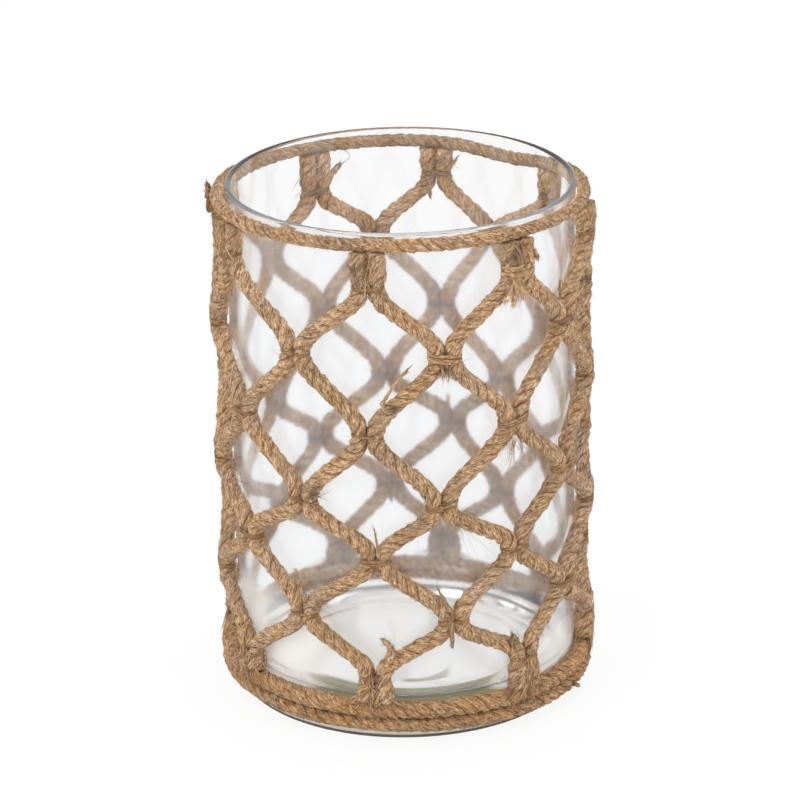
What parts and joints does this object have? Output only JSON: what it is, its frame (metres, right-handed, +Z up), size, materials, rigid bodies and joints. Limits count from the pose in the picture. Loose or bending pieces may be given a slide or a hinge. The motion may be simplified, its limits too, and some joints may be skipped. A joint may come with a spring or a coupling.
{
  "type": "hurricane lantern",
  "caption": "Open clear glass cylinder for a pillar candle, dressed in a diamond net of tied jute rope with rope round its rim and foot.",
  "frame": {"origin": "middle of the underside of the glass, at the height of the ring that it stands on", "axes": "+Z up along the axis of the glass towards the open rim, -Y towards the side that the picture shows in front, +X to the right of that side"},
  "size_m": [0.1465, 0.1462, 0.2],
  "materials": {
    "clear_glass": "clear moulded soda-lime glass with a melted rim and a faint green cast in thick places",
    "jute_rope": "natural golden tan jute, three strands laid right-handed, hairy, with darker brown grooves",
    "jute_twine": "fine natural jute twine wound in turns, slightly darker than the rope"
  },
  "bodies": {
    "root": {"glass_cylinder": "clear_glass", "rim_rope": "jute_rope", "foot_rope_upper": "jute_rope", "foot_rope_lower": "jute_rope", "net_strand_01": "jute_rope", "net_strand_02": "jute_rope", "net_strand_03": "jute_rope", "net_strand_04": "jute_rope", "net_strand_05": "jute_rope", "net_strand_06": "jute_rope", "net_strand_07": "jute_rope", "net_strand_08": "jute_rope", "net_strand_09": "jute_rope", "net_strand_10": "jute_rope", "net_strand_11": "jute_rope", "net_strand_12": "jute_rope", "net_strand_13": "jute_rope", "net_strand_14": "jute_rope", "net_strand_15": "jute_rope", "net_strand_16": "jute_rope", "knot_ties_row_1": "jute_twine", "knot_ties_row_2": "jute_twine", "knot_ties_row_3": "jute_twine", "knot_ties_row_4": "jute_twine", "knot_ties_row_5": "jute_twine", "knot_ties_row_6": "jute_twine", "knot_ties_row_7": "jute_twine"}
  },
  "joints": []
}
